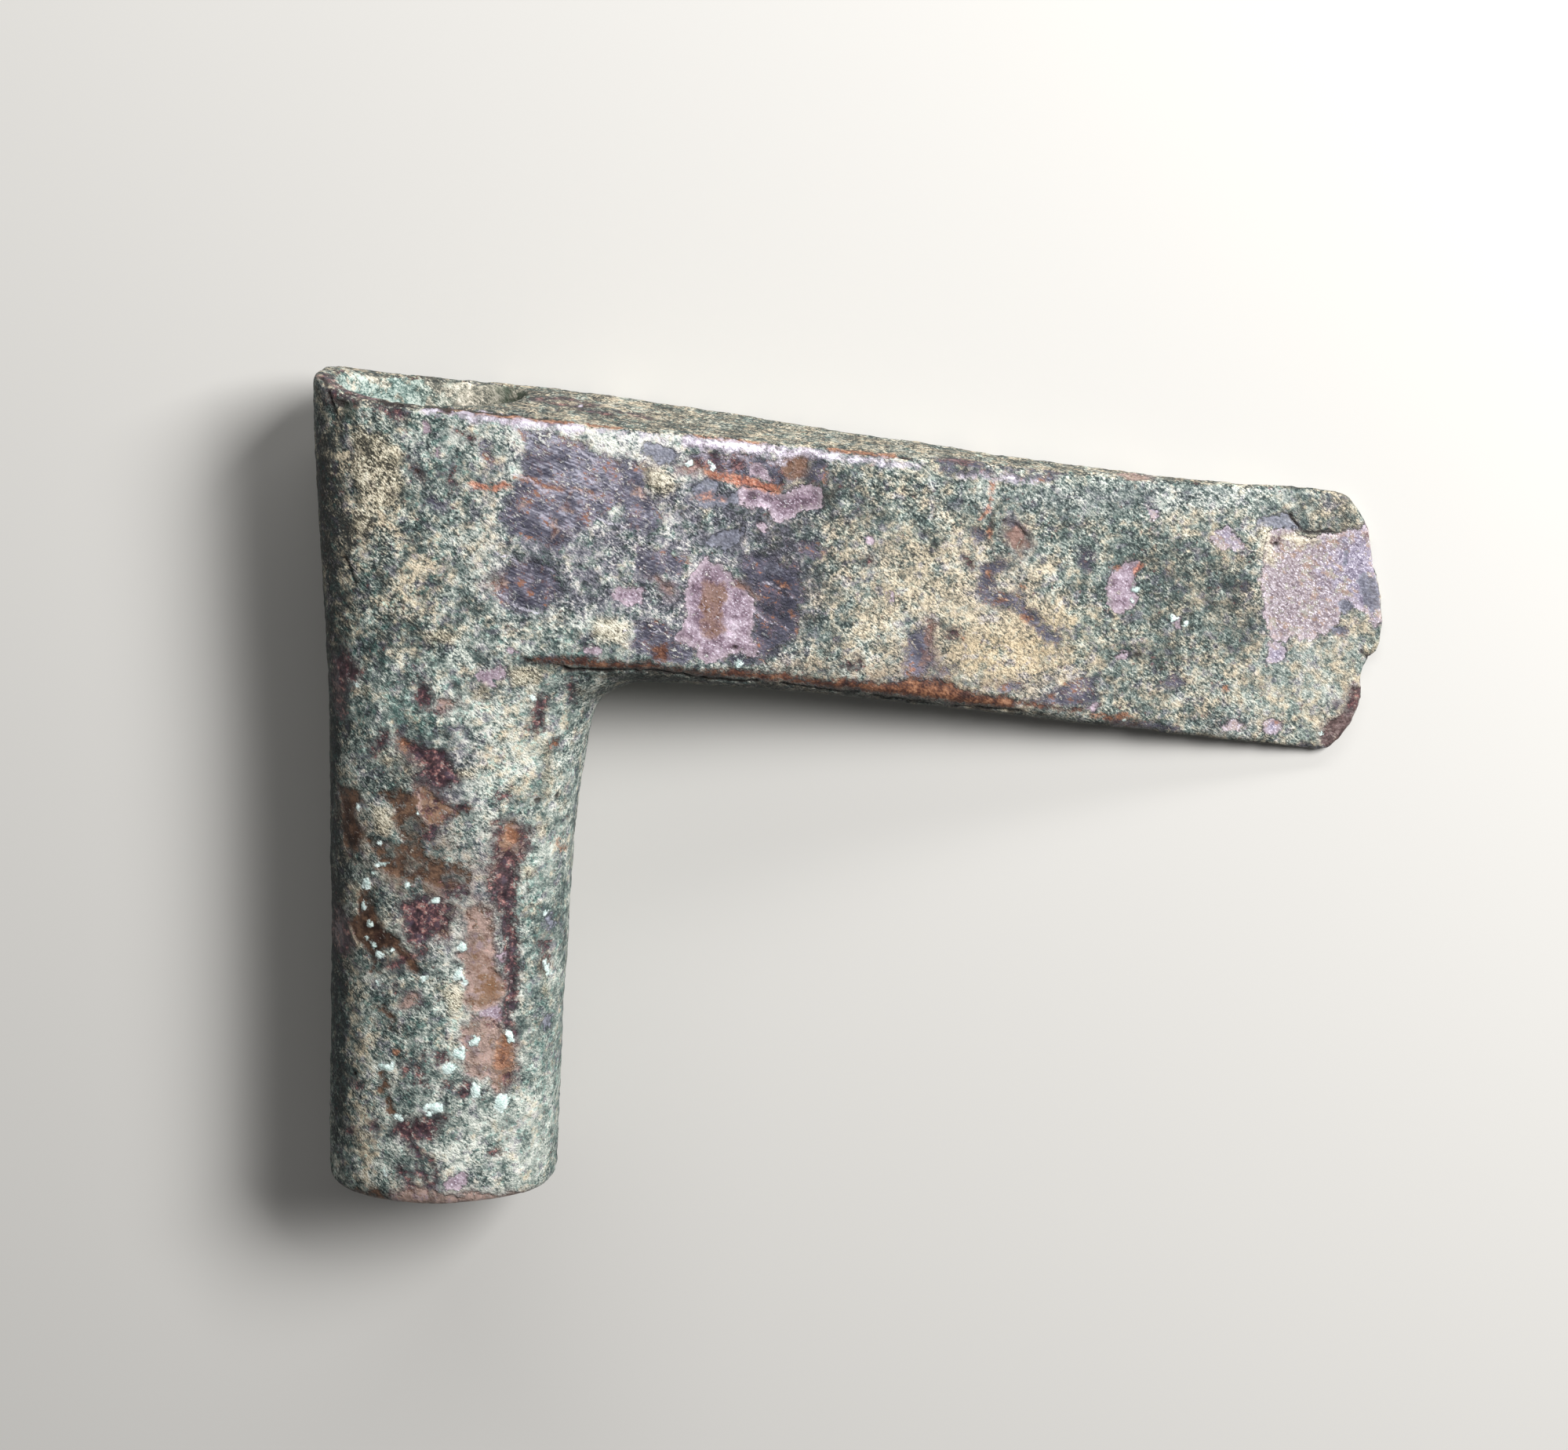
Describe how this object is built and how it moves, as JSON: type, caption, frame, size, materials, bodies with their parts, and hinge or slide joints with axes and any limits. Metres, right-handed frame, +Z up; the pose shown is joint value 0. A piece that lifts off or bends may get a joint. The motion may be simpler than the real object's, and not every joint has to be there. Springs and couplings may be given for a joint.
{
  "type": "shaft-hole axe head",
  "caption": "Cast bronze axe head with a tall oval socket for the haft and a long, drooping, wedge-shaped blade, under a mottled green patina.",
  "frame": {"origin": "middle of the box on the surface that the axe head lies on", "axes": "+X from the socket along the blade to the cutting edge, +Y along the socket from its foot to its mouth, +Z up out of the front face as it lies"},
  "size_m": [0.1486, 0.1184, 0.0266],
  "materials": {
    "patinated_bronze": "matt grey-green patina with cream crust, purple and copper-brown patches"
  },
  "bodies": {
    "root": {"axe_head": "patinated_bronze"}
  },
  "joints": []
}
